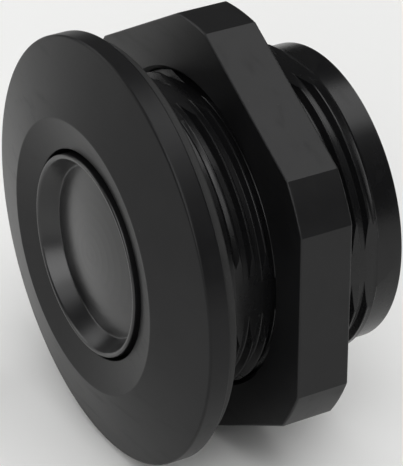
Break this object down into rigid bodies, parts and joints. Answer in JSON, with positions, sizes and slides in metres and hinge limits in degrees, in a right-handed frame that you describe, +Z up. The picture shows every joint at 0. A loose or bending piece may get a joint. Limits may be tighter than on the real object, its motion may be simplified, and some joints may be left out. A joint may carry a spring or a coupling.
{
  "type": "panel push button",
  "caption": "Round panel push button with a dished cap, a flat bezel, a threaded barrel with flats, a gasket and a hexagonal panel nut; the button springs back and the nut turns.",
  "frame": {"origin": "on the barrel's axis, in the plane where the gasket's rear face meets the panel", "axes": "+Y runs back along the barrel, away from the bezel; +Z is up, through a corner of the nut; the button faces -Y"},
  "size_m": [0.03, 0.0189, 0.031],
  "materials": {
    "barrel_plastic": "satin moulded",
    "bezel_plastic": "satin moulded",
    "gasket_rubber": "matt",
    "seal_rubber": "matt",
    "ring_steel": "stamped",
    "inner_plastic": "moulded",
    "bushing_brass": "turned",
    "spring_steel": "drawn",
    "button_plastic": "polished",
    "carrier_plastic": "moulded",
    "foot_plastic": "moulded",
    "nut_plastic": "satin moulded"
  },
  "bodies": {
    "housing": {"threaded_barrel": "barrel_plastic", "front_bezel": "bezel_plastic", "panel_gasket": "gasket_rubber", "bezel_seal_ring": "seal_rubber", "lip_seal": "seal_rubber", "stop_ring": "ring_steel", "front_snap_ring": "ring_steel", "guide_plate": "inner_plastic", "guide_bushing": "bushing_brass", "plate_snap_ring": "ring_steel", "spring_washer_seat": "ring_steel", "return_spring": "spring_steel", "coupling_ring": "inner_plastic"},
    "button": {"button_cap": "button_plastic", "cap_carrier": "carrier_plastic", "carrier_seal_ring": "seal_rubber", "carrier_snap_ring": "ring_steel", "plunger_stem": "spring_steel", "bumper_ring": "seal_rubber", "pusher_foot": "foot_plastic", "foot_clip": "ring_steel"},
    "nut": {"hex_nut": "nut_plastic"}
  },
  "joints": [
    {"name": "button_press", "type": "slide", "parent": "housing", "child": "button", "axis": [0, 1, 0], "range_m": [0, 0.0035], "stiffness_N_per_m": 600, "springref_m": -0.003, "deforming": ["return_spring"]},
    {"name": "nut_turn", "type": "hinge", "parent": "housing", "child": "nut", "pos_m": [0, 0.00669, 0], "axis": [0, -1, 0], "continuous": true}
  ]
}
